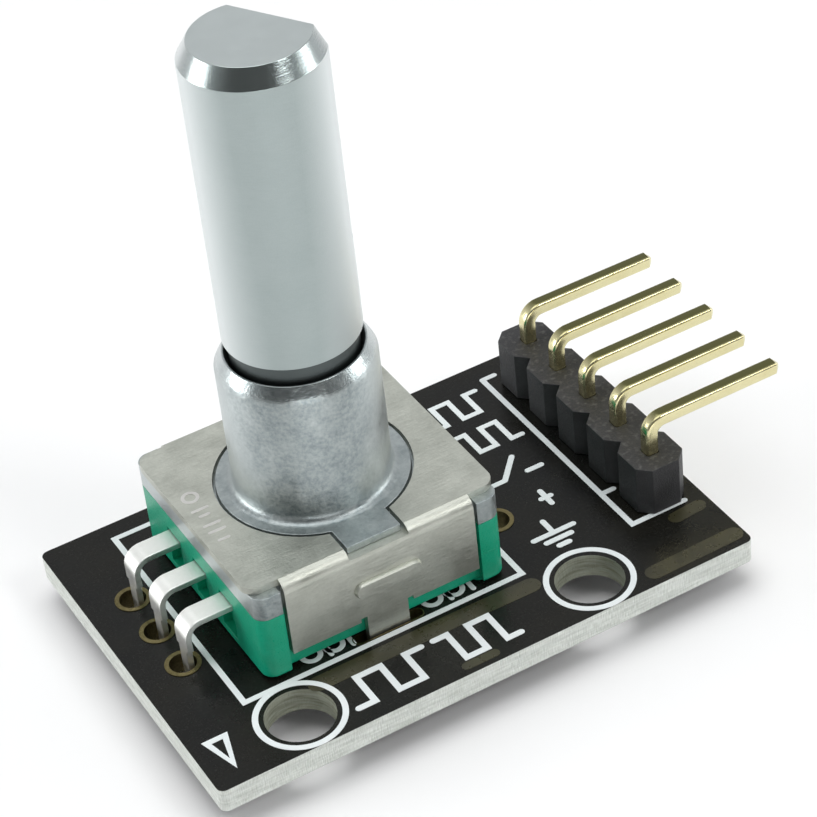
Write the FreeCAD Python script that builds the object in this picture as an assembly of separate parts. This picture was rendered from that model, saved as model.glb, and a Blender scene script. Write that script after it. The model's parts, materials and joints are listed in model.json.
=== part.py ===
"""Rotary encoder with a push switch, soldered to a small breakout board with a pin header.

Millimetres, +Z up.  The origin is on the board's underside, midway between the two
mounting holes.  +X runs along the holes towards the header pins, +Y away from them.
Each named piece is written to parts/NAME.step.
"""
import FreeCAD, Part

import math
import os

Vector = FreeCAD.Vector
UP = Vector(0, 0, 1)

# ---------------------------------------------------------------- driving dimensions
# Board
board_length = 26.5
board_width = 18.0
board_thickness = 1.2
board_corner_radius = 0.35
mount_hole_diameter = 3.1
mount_hole_spacing = 14.4
mount_hole_to_left_edge = 4.85
mount_hole_to_front_edge = 2.05
copper_thickness = 0.04         # pads and the lining of a plated hole
pad_margin = 0.2                # copper ring left round a drilled hole
slot_pad_margin = 0.05          # the same on top of the slots for the cover's lugs

# Where the shaft stands, from the point between the mounting holes
shaft_x = -1.5
shaft_y = 8.2

# Layers of the encoder, from the board up
foot_height = 0.15
switch_base_height = 1.6
contact_base_height = 1.7
plate_thickness = 1.2
cover_thickness = 0.35

# Outline of the encoder
body_length = 11.9              # moulded bases and bush plate, along X
body_width = 11.66              # at the four corners, along Y
body_corner_radius = 0.6
cover_overhang = 0.13           # cover past the body, each side along X
cover_side_gap = 0.02           # between a skirt and the pieces inside it
cover_corner_radius = 0.7
cover_bend_radius = 0.25        # inside a fold
skirt_length = 9.2
skirt_gap_below = 1.07          # from the board to the lower edge of a skirt
lug_width = 2.0
lug_slot_play = 0.7             # each end of the board's slot, along X
lug_slot_side_play = 0.1
lug_notch_width = 0.3
lug_notch_height = 0.2
rib_length = 3.3                # pressed rib on each skirt
rib_height = 0.8
rib_depth = 0.22
rib_level = 2.85                # above the board
rib_shift = 0.2                 # along X from the skirt's middle

# Bush and shaft
shaft_diameter = 6.0
shaft_length = 22.0             # above the cover
shaft_chamfer = 0.5
shaft_chamfer_height = 0.8
flat_depth = 1.5
flat_length = 10.0
flat_angle = 30.0               # direction that the flat faces, from +X
journal_diameter = 5.6          # of the shaft inside the bush
running_clearance = 0.03        # radial, journal in bush
head_gap = 0.3                  # left above the bush when the shaft is pushed down
bush_wall = 0.67
bush_length = 7.0               # above the cover
bush_chamfer = 0.42
bush_chamfer_height = 0.75
bush_mouth = 0.20               # radial countersink round the shaft
bush_mouth_depth = 0.5
bush_foot_radius = 0.4          # fillet between bush and disc
disc_edge = 0.38                # flat left outside that fillet
disc_gap = 0.13                 # radial gap in the cover's hole
key_width = 2.6                 # raised key of the bush plate in the cover's notch
key_gap = 0.15                  # beside the key and beside each skirt
key_front_gap = 0.12            # between the key's front and the skirt

# Inside the encoder
push_travel = 0.5
end_play = 0.05                 # left when the shaft is pushed right down
neck_diameter = 4.0
neck_flats = 3.2                # across the two flats that turn the rotor
neck_clearance = 0.05           # neck in its bores
turning_gap = 0.04              # between turning and fixed faces
web_thickness = 0.37            # of the bush plate, above the retaining ring
ring_thickness = 0.28
ring_diameter = 5.6
ring_mouth = 2.4
groove_diameter = 3.3           # of the shaft, inside the ring
ring_recess_depth = 0.53
ring_recess_play = 0.2
spring_thickness = 0.12
spring_recess_depth = 0.35
spring_inner_diameter = 6.5
spring_outer_diameter = 9.0
spring_ear_width = 1.0
spring_ear_reach = 0.35
detent_count = 20
detent_radius = 0.2
detent_depth = 0.12
rotor_diameter = 8.6
rotor_rise = 0.1                # of the rotor's top above the contact base
cavity_play = 0.2               # radial, round the rotor
hub_diameter = 5.2
code_disc_thickness = 0.1
code_track_inner = 6.9
code_track_outer = 8.2
contact_floor_thickness = 0.7
finger_rise = 0.19              # contact finger above the floor
finger_thickness = 0.12
finger_width = 0.8
plunger_flange_diameter = 5.0
plunger_flange_thickness = 0.3
switch_floor_thickness = 0.45
dome_diameter = 5.2
dome_height = 0.6
dome_thickness = 0.06
dome_play = 0.3
small_gap = 0.02

# Terminals
terminal_pitch = 2.5
contact_reach = 2.42            # hole centre from the body, contact side
switch_reach = 1.45             # hole centre from the body, switch side
leg_offset = 0.25               # leg from the hole's centre, towards the body
leg_width = 0.7
leg_thickness = 0.3
shoulder_width = 1.1            # of a contact terminal above its leg
shoulder_level = 0.9            # above the board
leg_clearance = 0.08
contact_bend_radius = 0.7
switch_bend_radius = 0.3
switch_strip_thickness = 0.2
switch_pad_diameter = 1.2
tail_length = 1.0               # legs and lugs below the board
channel_depth = 0.4             # groove in the body's side where a terminal leaves
channel_play = 0.1

# Header
pin_count = 5
pin_pitch = 2.54
pin_size = 0.64
pin_edge_radius = 0.12
pin_tip_chamfer = 0.2
pin_bend_radius = 0.35
pin_row_to_right_edge = 1.9
pin_level = 4.17                # centre of the level run above the board
pin_reach = 5.0                 # tips past the board's right edge
pin_tail_length = 1.3
header_width = 2.5
header_height = 2.5
header_unit_chamfer = 0.55
pin_hole_clearance = 0.06

# Solder and the pull-up resistors under the board
solder_height = 0.85
solder_fill = 0.2               # share of a hole's depth that solder fills
solder_neck = 0.12              # solder left round a leg at the fillet's tip
resistor_length = 1.6
resistor_width = 0.8
resistor_height = 0.45
resistor_cap_length = 0.3
resistor_spacing = 3.0
resistor_from_pins = 4.0

# ---------------------------------------------------------------- sizes that follow
board_left = -mount_hole_spacing / 2 - mount_hole_to_left_edge
board_right = board_left + board_length
board_front = -mount_hole_to_front_edge

split_level = foot_height + switch_base_height
plate_bottom = split_level + contact_base_height
plate_top = plate_bottom + plate_thickness
cover_top = plate_top + cover_thickness
bush_top = cover_top + bush_length
shaft_top = cover_top + shaft_length

shaft_radius = shaft_diameter / 2
bore_radius = journal_diameter / 2 + running_clearance
bush_radius = bore_radius + bush_wall
disc_radius = bush_radius + bush_foot_radius + disc_edge
cover_hole_radius = disc_radius + disc_gap

skirt_inner = body_width / 2 - cover_thickness + cover_side_gap
skirt_outer = skirt_inner + cover_thickness
skirt_middle = skirt_inner + cover_thickness / 2
waist_width = 2 * (skirt_inner - cover_side_gap)

bore_floor = plate_bottom + ring_recess_depth + web_thickness
shaft_shoulder = bore_floor + push_travel + end_play
head_bottom = bush_top + push_travel + head_gap
ring_top = plate_bottom + ring_recess_depth - turning_gap
ring_bottom = ring_top - ring_thickness
rotor_top = plate_bottom + rotor_rise
rotor_recess_floor = ring_bottom - push_travel - end_play
contact_floor = split_level + contact_floor_thickness
disc_bottom = contact_floor + finger_rise + small_gap
rotor_bottom = disc_bottom + code_disc_thickness
hub_bottom = contact_floor + 2 * turning_gap
cavity_radius = rotor_diameter / 2 + cavity_play

plunger_top = contact_floor - 0.4
shaft_foot = plunger_top + small_gap
switch_floor = foot_height + switch_floor_thickness
dome_bottom = switch_floor + small_gap
plunger_bottom = dome_bottom + dome_height + small_gap
guide_radius = neck_diameter / 2 + neck_clearance

contact_hole_x = -(body_length / 2 + contact_reach)
switch_hole_x = body_length / 2 + switch_reach
leg_hole_radius = math.hypot(leg_width / 2, leg_offset + leg_thickness / 2) + leg_clearance
lug_slot_length = lug_width + 2 * lug_slot_play
lug_slot_width = cover_thickness + 2 * lug_slot_side_play

pin_row_x = board_right - pin_row_to_right_edge
pin_tip_x = board_right + pin_reach
pin_hole_radius = pin_size / math.sqrt(2) + pin_hole_clearance
pin_ys = [shaft_y + (i - (pin_count - 1) / 2) * pin_pitch for i in range(pin_count)]


# ---------------------------------------------------------------- helpers
def box(x0, x1, y0, y1, z0, z1):
    """A block between two corners."""
    return Part.makeBox(x1 - x0, y1 - y0, z1 - z0, Vector(x0, y0, z0))


def cylinder(radius, z0, z1, x=0, y=0):
    """An upright cylinder."""
    return Part.makeCylinder(radius, z1 - z0, Vector(x, y, z0))


def tube(outer, inner, z0, z1, x=0, y=0):
    """An upright pipe or washer."""
    return cylinder(outer, z0, z1, x, y).cut(cylinder(inner, z0, z1, x, y))


def revolve(points):
    """A solid turned about the Z axis from (radius, height) points."""
    corners = [Vector(radius, 0, height) for radius, height in points]
    face = Part.Face(Part.makePolygon(corners + corners[:1]))
    return face.revolve(Vector(0, 0, 0), UP, 360)


def obround(length, width, z0, z1, x=0, y=0):
    """An upright block with round ends; a round one when length equals width."""
    radius = width / 2
    half = length / 2 - radius
    shape = cylinder(radius, z0, z1, x - half, y)
    if half > 0:
        shape = shape.fuse(cylinder(radius, z0, z1, x + half, y))
        shape = shape.fuse(box(x - half, x + half, y - radius, y + radius, z0, z1))
    return shape.removeSplitter()


def round_uprights(shape, radius, chosen=lambda x, y: True):
    """Fillet the upright edges whose plan position is chosen."""
    edges = []
    for edge in shape.Edges:
        a = edge.Vertexes[0].Point
        b = edge.Vertexes[-1].Point
        upright = abs(a.x - b.x) < 1e-6 and abs(a.y - b.y) < 1e-6
        if upright and chosen(a.x, a.y):
            edges.append(edge)
    return shape.makeFillet(radius, edges)


def bent_strip(path, thickness, bend_radius, width):
    """A flat strip of even thickness, folded along a path of (x, z) points, centred on y = 0.

    Each inner corner of the path becomes an arc of bend_radius on the strip's middle line.
    """
    points = [Vector(x, 0, z) for x, z in path]
    runs = [(b - a).normalize() for a, b in zip(points, points[1:])]
    half = thickness / 2
    sides = []
    for side in (half, -half):
        edges = []
        start = points[0] + runs[0].cross(Vector(0, 1, 0)) * side
        for corner, before, after in zip(points[1:-1], runs, runs[1:]):
            turn = before.getAngle(after)
            tangent = bend_radius * math.tan(turn / 2)
            inward = (after - before).normalize()
            centre = corner + inward * (bend_radius / math.cos(turn / 2))
            arc_start = corner - before * tangent + before.cross(Vector(0, 1, 0)) * side
            arc_end = corner + after * tangent + after.cross(Vector(0, 1, 0)) * side
            arc_middle = centre - inward * (arc_start - centre).Length
            edges.append(Part.LineSegment(start, arc_start).toShape())
            edges.append(Part.Arc(arc_start, arc_middle, arc_end).toShape())
            start = arc_end
        end = points[-1] + runs[-1].cross(Vector(0, 1, 0)) * side
        edges.append(Part.LineSegment(start, end).toShape())
        sides.append((edges, end))
    first = points[0] + runs[0].cross(Vector(0, 1, 0)) * half
    last = points[0] - runs[0].cross(Vector(0, 1, 0)) * half
    caps = [
        Part.LineSegment(sides[0][1], sides[1][1]).toShape(),
        Part.LineSegment(last, first).toShape(),
    ]
    wire = Part.Wire(Part.__sortEdges__(sides[0][0] + sides[1][0] + caps))
    face = Part.Face(wire)
    face.translate(Vector(0, -width / 2, 0))
    return face.extrude(Vector(0, width, 0))


def moved(shape, x=0, y=0, z=0):
    """A copy of a shape, shifted."""
    copy = shape.copy()
    copy.translate(Vector(x, y, z))
    return copy


def turned(shape, degrees):
    """A copy of a shape, turned about the Z axis."""
    copy = shape.copy()
    copy.rotate(Vector(0, 0, 0), UP, degrees)
    return copy


def at_shaft(shape):
    """Place a shape modelled round the shaft axis, above the board's top face."""
    return moved(shape, shaft_x, shaft_y, board_thickness)


def export(name, *solids):
    """Write one named piece."""
    shape = solids[0] if len(solids) == 1 else Part.makeCompound(list(solids))
    shape.exportStep(f"parts/{name}.step")
    print(f"{name}: {len(shape.Solids)} solid(s), {shape.Volume:.3f} mm3, valid {shape.isValid()}")


# ---------------------------------------------------------------- holes in the board
def round_holes():
    """Centre, drill radius and use of every plated round hole."""
    holes = [(pin_row_x, y, pin_hole_radius) for y in pin_ys]
    for row in (1, 0, -1):
        holes.append((shaft_x + contact_hole_x, shaft_y + row * terminal_pitch, leg_hole_radius))
    for row in (1, -1):
        holes.append((shaft_x + switch_hole_x, shaft_y + row * terminal_pitch, leg_hole_radius))
    return holes


def lug_slots():
    """Centres of the two slots that take the cover's lugs."""
    return [(shaft_x, shaft_y + side * skirt_middle) for side in (-1, 1)]


def make_board():
    """The board, with its mounting holes and the drillings for every plated hole."""
    board = box(board_left, board_right, board_front, board_front + board_width, 0, board_thickness)
    board = round_uprights(board, board_corner_radius)
    for side in (-1, 1):
        x = side * mount_hole_spacing / 2
        board = board.cut(cylinder(mount_hole_diameter / 2, 0, board_thickness, x))
    for x, y, radius in round_holes():
        board = board.cut(cylinder(radius + copper_thickness, 0, board_thickness, x, y))
    for x, y in lug_slots():
        length = lug_slot_length + 2 * copper_thickness
        width = lug_slot_width + 2 * copper_thickness
        board = board.cut(obround(length, width, 0, board_thickness, x, y))
    return board


def plating(x, y, length, width, top_margin):
    """The copper lining and the two pads of one plated hole or slot."""
    bottom = -copper_thickness
    top = board_thickness + copper_thickness
    lining = obround(length + 2 * copper_thickness, width + 2 * copper_thickness, bottom, top, x, y)
    lower = obround(length + 2 * pad_margin, width + 2 * pad_margin, bottom, 0, x, y)
    upper_length = length + 2 * top_margin
    upper_width = width + 2 * top_margin
    upper = obround(upper_length, upper_width, board_thickness, top, x, y)
    return lining.fuse([lower, upper]).cut(obround(length, width, bottom, top, x, y))


def make_plating():
    """Plating of every round hole and slot, as separate solids."""
    solids = [plating(x, y, 2 * radius, 2 * radius, pad_margin) for x, y, radius in round_holes()]
    for x, y in lug_slots():
        solids.append(plating(x, y, lug_slot_length, lug_slot_width, slot_pad_margin))
    return solids


# ---------------------------------------------------------------- header
def make_pin(y):
    """One square header pin: up through the board, then out level past its edge."""
    path = [
        (pin_row_x, -pin_tail_length),
        (pin_row_x, board_thickness + pin_level),
        (pin_tip_x, board_thickness + pin_level),
    ]
    pin = bent_strip(path, pin_size, pin_bend_radius, pin_size)
    ends = []
    for edge in pin.Edges:
        points = [vertex.Point for vertex in edge.Vertexes]
        at_tail = all(abs(point.z + pin_tail_length) < 1e-6 for point in points)
        at_tip = all(abs(point.x - pin_tip_x) < 1e-6 for point in points)
        if at_tail or at_tip:
            ends.append(edge)
    pin = pin.makeChamfer(pin_tip_chamfer, ends)
    lengthwise = [edge for edge in pin.Edges if is_lengthwise(edge)]
    return moved(pin.makeFillet(pin_edge_radius, lengthwise), y=y)


def is_lengthwise(edge):
    """True for the edges that run the length of a pin, on its four corners."""
    points = [edge.valueAt(edge.FirstParameter), edge.valueAt(edge.LastParameter)]
    on_corner = all(abs(abs(point.y) - pin_size / 2) < 1e-6 for point in points)
    inside = all(point.z > -pin_tail_length + pin_tip_chamfer - 1e-6 for point in points)
    inside = inside and all(point.x < pin_tip_x - pin_tip_chamfer + 1e-6 for point in points)
    return on_corner and inside and (points[0] - points[1]).Length > pin_size


def make_header_base(pins):
    """The header's plastic: one chamfered block for each pin, joined in a row."""
    bottom = board_thickness + copper_thickness
    half = header_width / 2
    cut = header_unit_chamfer
    base = None
    for y in pin_ys:
        reach = pin_pitch / 2
        corners = [
            (-half + cut, -reach), (half - cut, -reach), (half, -reach + cut), (half, reach - cut),
            (half - cut, reach), (-half + cut, reach), (-half, reach - cut), (-half, -reach + cut),
        ]
        points = [Vector(pin_row_x + dx, y + dy, bottom) for dx, dy in corners]
        unit = Part.Face(Part.makePolygon(points + points[:1])).extrude(UP * header_height)
        base = unit if base is None else base.fuse(unit)
    return base.removeSplitter().cut(pins)


# ---------------------------------------------------------------- encoder, fixed pieces
def body_block(z0, z1):
    """A layer of the encoder's body: narrow between the skirts, full width at the corners."""
    half_length = body_length / 2
    half_width = body_width / 2
    corner_start = skirt_length / 2 + key_gap
    waist = waist_width / 2
    block = box(-half_length, half_length, -waist, waist, z0, z1)
    for side in (-1, 1):
        x0, x1 = sorted((side * corner_start, side * half_length))
        block = block.fuse(box(x0, x1, -half_width, half_width, z0, z1))
    block = block.removeSplitter()

    def outer(x, y):
        return abs(abs(x) - half_length) < 1e-6 and abs(abs(y) - half_width) < 1e-6

    return round_uprights(block, body_corner_radius, outer)


def side_channels(z0, z1):
    """Grooves in the contact side of the body, where the terminals come out."""
    half = shoulder_width / 2 + channel_play
    outside = -body_length / 2 - 1
    inside = -body_length / 2 + channel_depth
    shapes = []
    for row in (1, 0, -1):
        y = row * terminal_pitch
        shapes.append(box(outside, inside, y - half, y + half, z0, z1))
    return shapes


def make_cover():
    """The folded steel cover: top plate, two skirts, two lugs, pressed ribs."""
    middle = cover_top - cover_thickness / 2
    path = [
        (-skirt_middle, skirt_gap_below),
        (-skirt_middle, middle),
        (skirt_middle, middle),
        (skirt_middle, skirt_gap_below),
    ]
    fold_radius = cover_bend_radius + cover_thickness / 2
    channel = turned(bent_strip(path, cover_thickness, fold_radius, skirt_length), 90)
    half_length = body_length / 2 + cover_overhang
    plate_half = skirt_inner - cover_bend_radius / 2
    plate = box(-half_length, half_length, -plate_half, plate_half, plate_top, cover_top)
    plate = round_uprights(plate, cover_corner_radius)
    cover = channel.fuse(plate)

    for side in (-1, 1):
        y0, y1 = sorted((side * skirt_inner, side * skirt_outer))
        lug_end = -board_thickness - tail_length
        lug = box(-lug_width / 2, lug_width / 2, y0, y1, lug_end, skirt_gap_below + 0.5)
        taper = [edge for edge in lug.Edges if is_lug_corner(edge, lug_end)]
        cover = cover.fuse(lug.makeChamfer(0.4, taper))
        for end in (-1, 1):
            x0, x1 = sorted((end * lug_width / 2, end * (lug_width / 2 + lug_notch_width)))
            top = skirt_gap_below + lug_notch_height
            cover = cover.cut(box(x0, x1, y0, y1, skirt_gap_below, top))
        cover = cover.fuse(make_rib(side))

    cover = cover.removeSplitter()
    cover = cover.cut(cylinder(cover_hole_radius, plate_top - 1, cover_top + 1))
    notch = key_width / 2 + key_gap
    cover = cover.cut(box(-notch, notch, -skirt_outer - 1, 0, plate_top, cover_top + 1))
    return cover


def is_lug_corner(edge, end):
    """True for the two edges across the lug's thickness at its lower end."""
    a = edge.Vertexes[0].Point
    b = edge.Vertexes[-1].Point
    at_end = abs(a.z - end) < 1e-6 and abs(b.z - end) < 1e-6
    return at_end and abs(a.x - b.x) < 1e-6


def make_rib(side):
    """The rib pressed outwards in a skirt: a level half-round bead with round ends."""
    y = side * skirt_outer
    half = rib_length / 2 - rib_height / 2
    radius = rib_height / 2
    start = Vector(rib_shift - half, y, rib_level)
    bead = Part.makeCylinder(radius, 2 * half, start, Vector(1, 0, 0))
    for end in (-1, 1):
        bead = bead.fuse(Part.makeSphere(radius, Vector(rib_shift + end * half, y, rib_level)))
    y0, y1 = sorted((side * (skirt_outer - cover_thickness / 2), side * (skirt_outer + rib_depth)))
    return bead.common(box(-rib_length, rib_length, y0, y1, 0, cover_top))


def make_bush_plate():
    """The die-cast plate under the cover, with the bush that carries the shaft."""
    plate = body_block(plate_bottom, plate_top)
    under_folds = [edge for edge in plate.Edges if is_under_fold(edge)]
    plate = plate.makeChamfer(cover_bend_radius, under_folds)
    foot = bush_radius + bush_foot_radius
    foot_top = cover_top + bush_foot_radius
    arc_middle = bush_foot_radius * (1 - math.sqrt(0.5))
    edges = [
        Part.LineSegment(Vector(0, 0, plate_top), Vector(disc_radius, 0, plate_top)),
        Part.LineSegment(Vector(disc_radius, 0, plate_top), Vector(disc_radius, 0, cover_top)),
        Part.LineSegment(Vector(disc_radius, 0, cover_top), Vector(foot, 0, cover_top)),
        Part.Arc(
            Vector(foot, 0, cover_top),
            Vector(bush_radius + arc_middle, 0, cover_top + arc_middle),
            Vector(bush_radius, 0, foot_top),
        ),
        Part.LineSegment(
            Vector(bush_radius, 0, foot_top),
            Vector(bush_radius, 0, bush_top - bush_chamfer_height),
        ),
        Part.LineSegment(
            Vector(bush_radius, 0, bush_top - bush_chamfer_height),
            Vector(bush_radius - bush_chamfer, 0, bush_top),
        ),
        Part.LineSegment(Vector(bush_radius - bush_chamfer, 0, bush_top), Vector(0, 0, bush_top)),
        Part.LineSegment(Vector(0, 0, bush_top), Vector(0, 0, plate_top)),
    ]
    wire = Part.Wire([edge.toShape() for edge in edges])
    bush = Part.Face(wire).revolve(Vector(0, 0, 0), UP, 360)
    half_key = key_width / 2
    key_front = -skirt_inner + key_front_gap
    key = box(-half_key, half_key, key_front, 0, plate_top, cover_top)
    solid = plate.fuse([bush, key]).removeSplitter()

    bore = cylinder(bore_radius, bore_floor, bush_top)
    mouth = revolve([
        (0, bush_top - bush_mouth_depth),
        (bore_radius, bush_top - bush_mouth_depth),
        (bore_radius + bush_mouth - running_clearance, bush_top),
        (0, bush_top),
    ])
    neck_hole = cylinder(guide_radius, plate_bottom, bore_floor)
    ring_radius = ring_diameter / 2 + ring_recess_play
    ring_room = cylinder(ring_radius, plate_bottom, plate_bottom + ring_recess_depth)
    spring_radius = spring_outer_diameter / 2 + small_gap
    spring_top = plate_bottom + spring_recess_depth
    spring_room = cylinder(max(spring_radius, cavity_radius), plate_bottom, spring_top)
    ears = spring_ears(small_gap, plate_bottom, spring_top)
    return solid.cut([bore, mouth, neck_hole, ring_room, spring_room, ears])


def is_under_fold(edge):
    """True for the plate's two long top edges, which lie inside the cover's folds."""
    points = [vertex.Point for vertex in edge.Vertexes]
    on_top = all(abs(point.z - plate_top) < 1e-6 for point in points)
    return on_top and all(abs(abs(point.y) - waist_width / 2) < 1e-6 for point in points)


def spring_ears(play, z0, z1):
    """The two ears that stop the click spring from turning, or the room for them."""
    half = spring_ear_width / 2 + play
    reach = spring_outer_diameter / 2 + spring_ear_reach + play
    inner = spring_inner_diameter / 2 + spring_thickness
    both = box(-half, half, -reach, -inner, z0, z1)
    return both.fuse(box(-half, half, inner, reach, z0, z1))


def make_click_spring():
    """The flat ring spring whose two bumps drop into the rotor's detents."""
    top = plate_bottom + spring_recess_depth
    bottom = top - spring_thickness
    ring = tube(spring_outer_diameter / 2, spring_inner_diameter / 2, bottom, top)
    ring = ring.fuse(spring_ears(0, bottom, top))
    bump_radius = (bottom - rotor_top + detent_depth + spring_thickness / 2 - turning_gap) / 2
    level = rotor_top - detent_depth + turning_gap + bump_radius
    length = (spring_outer_diameter - spring_inner_diameter) / 2 - 2 * spring_thickness
    start = spring_inner_diameter / 2 + spring_thickness
    for angle in (0, 180):
        bump = Part.makeCylinder(bump_radius, length, Vector(start, 0, level), Vector(1, 0, 0))
        ring = ring.fuse(turned(bump, angle))
    return ring.removeSplitter()


def leg_side_cuts(x, z0, z1):
    """Blocks that take a terminal down to its leg's width between two levels."""
    wide = shoulder_width
    near = x - 2 * leg_thickness
    far = x + 2 * leg_thickness
    half = leg_width / 2
    return [box(near, far, half, wide, z0, z1), box(near, far, -wide, -half, z0, z1)]


def make_contact(y, finger_tip):
    """One contact: leg in the board, arch, strip through the floor and sprung finger."""
    leg_x = contact_hole_x + leg_offset
    strip_level = contact_floor - leg_thickness / 2
    root = -cavity_radius
    path = [
        (leg_x, -board_thickness - tail_length),
        (leg_x, strip_level),
        (root, strip_level),
    ]
    strip = bent_strip(path, leg_thickness, contact_bend_radius, shoulder_width)
    strip = strip.cut(leg_side_cuts(leg_x, -board_thickness - tail_length, shoulder_level))
    tip_level = contact_floor + finger_rise
    knee = finger_tip - 3 * finger_thickness
    outline = [
        (root, contact_floor - leg_thickness),
        (root, contact_floor),
        (root + 2 * finger_thickness, contact_floor),
        (knee, tip_level),
        (knee + finger_thickness, tip_level),
        (finger_tip, tip_level - finger_thickness),
        (finger_tip - finger_thickness, tip_level - finger_thickness),
        (knee, tip_level - finger_thickness),
        (root + 3 * finger_thickness, contact_floor - finger_thickness),
        (root + 3 * finger_thickness, contact_floor - leg_thickness),
    ]
    corners = [Vector(x, -finger_width / 2, z) for x, z in outline]
    finger = Part.Face(Part.makePolygon(corners + corners[:1])).extrude(Vector(0, finger_width, 0))
    return moved(strip.fuse(finger).removeSplitter(), y=y)


def make_contact_base(contacts):
    """The upper moulding: a cup round the rotor, with the contacts moulded in its floor."""
    base = body_block(split_level, plate_bottom)
    base = base.cut(cylinder(cavity_radius, contact_floor, plate_bottom))
    base = base.cut(cylinder(guide_radius, split_level, contact_floor))
    base = base.cut(side_channels(split_level, contact_floor + channel_play))
    return base.cut(contacts)


def make_switch_terminal(row, level):
    """One switch terminal: leg in the board and the strip moulded in the switch floor."""
    leg_x = switch_hole_x - leg_offset
    inner = dome_diameter / 2 - 2 * leg_thickness
    path = [(inner, level), (leg_x, level), (leg_x, -board_thickness - tail_length)]
    strip = bent_strip(path, switch_strip_thickness, switch_bend_radius, leg_width)
    return moved(strip, y=row * terminal_pitch)


def make_switch_terminals():
    """The terminal that ends in the pad under the dome, and the one under the dome's rim."""
    rim_level = switch_floor - switch_strip_thickness / 2
    pad_level = rim_level - switch_strip_thickness
    half = leg_width / 2
    inner = dome_diameter / 2 - 2 * leg_thickness

    pad_terminal = make_switch_terminal(1, pad_level)
    z0 = pad_level - switch_strip_thickness / 2
    z1 = pad_level + switch_strip_thickness / 2
    cross = box(-half, inner, terminal_pitch - half, terminal_pitch + half, z0, z1)
    arm = box(-half, half, 0, terminal_pitch, z0, z1)
    pad = cylinder(switch_pad_diameter / 2, z0, switch_floor + small_gap)
    pad_terminal = pad_terminal.fuse([cross, arm, pad]).removeSplitter()
    return pad_terminal, make_switch_terminal(-1, rim_level)


def make_switch_base(terminals):
    """The lower moulding: four feet, a floor with the terminals in it and the dome's well."""
    base = body_block(foot_height, split_level)
    base = base.makeFillet(foot_height, lower_edges(base, foot_height))
    well = dome_diameter / 2 + dome_play
    base = base.cut(cylinder(well, switch_floor, split_level))
    base = base.cut(side_channels(foot_height + switch_floor_thickness, split_level))
    foot_radius = body_corner_radius
    for x_side in (-1, 1):
        for y_side in (-1, 1):
            x = x_side * (body_length / 2 - 1.5 * foot_radius)
            y = y_side * (body_width / 2 - 1.5 * foot_radius)
            base = base.fuse(cylinder(foot_radius, 0, foot_height, x, y))
    return base.removeSplitter().cut(terminals)


def lower_edges(shape, level):
    """The edges that lie on one level."""
    chosen = []
    for edge in shape.Edges:
        if all(abs(vertex.Point.z - level) < 1e-6 for vertex in edge.Vertexes):
            chosen.append(edge)
    return chosen


def make_dome():
    """The snap dome of the switch: a shallow cap of even thickness."""
    rise = dome_height - dome_thickness
    radius = dome_diameter / 2
    sphere_radius = (radius ** 2 + rise ** 2) / (2 * rise)
    centre = dome_bottom + rise - sphere_radius
    outer = Part.makeSphere(sphere_radius + dome_thickness, Vector(0, 0, centre))
    inner = Part.makeSphere(sphere_radius, Vector(0, 0, centre))
    slab = cylinder(radius, dome_bottom, dome_bottom + dome_height + 1)
    return outer.cut(inner).common(slab)


# ---------------------------------------------------------------- encoder, moving pieces
def neck_section(play, z0, z1):
    """The round neck with two flats, or the hole that it fits with the given play."""
    half = neck_flats / 2 + play
    radius = neck_diameter / 2 + play
    return cylinder(radius, z0, z1).common(box(-radius, radius, -half, half, z0, z1))


def make_shaft():
    """The shaft: head with a flat, journal, neck, ring groove and driving flats."""
    journal = cylinder(journal_diameter / 2, shaft_shoulder, head_bottom)
    flat_bottom = shaft_top - flat_length
    head = cylinder(shaft_radius, head_bottom, flat_bottom)
    tip = revolve([
        (0, flat_bottom),
        (shaft_radius, flat_bottom),
        (shaft_radius, shaft_top - shaft_chamfer_height),
        (shaft_radius - shaft_chamfer, shaft_top),
        (0, shaft_top),
    ])
    flat_face = shaft_radius - flat_depth
    flat = box(flat_face, 2 * shaft_radius, -shaft_radius, shaft_radius, flat_bottom, shaft_top + 1)
    tip = tip.cut(turned(flat, flat_angle))
    neck = cylinder(neck_diameter / 2, ring_top, shaft_shoulder)
    groove = cylinder(groove_diameter / 2, ring_bottom, ring_top)
    driver = neck_section(0, shaft_foot, ring_bottom)
    return head.fuse([tip, journal, neck, groove, driver])


def make_retaining_ring():
    """The open washer pushed into the shaft's groove, under the bush plate."""
    ring = tube(ring_diameter / 2, groove_diameter / 2, ring_bottom, ring_top)
    half = ring_mouth / 2
    return ring.cut(box(0, ring_diameter, -half, half, ring_bottom, ring_top))


def make_rotor():
    """The rotor: a wheel with detents on top and the hub that the shaft turns."""
    radius = rotor_diameter / 2
    wheel = cylinder(radius, rotor_bottom, rotor_top)
    hub = cylinder(hub_diameter / 2, hub_bottom, rotor_bottom)
    rotor = wheel.fuse(hub).removeSplitter()
    ring_room = ring_diameter / 2 + ring_recess_play
    rotor = rotor.cut(cylinder(ring_room, rotor_recess_floor, rotor_top))
    rotor = rotor.cut(neck_section(turning_gap, hub_bottom, rotor_top))
    level = rotor_top + detent_radius - detent_depth
    start = Vector(ring_room - detent_radius, 0, level)
    detent = Part.makeCylinder(detent_radius, radius, start, Vector(1, 0, 0))
    step = 360 / detent_count
    return rotor.cut([turned(detent, i * step) for i in range(detent_count)])


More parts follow.
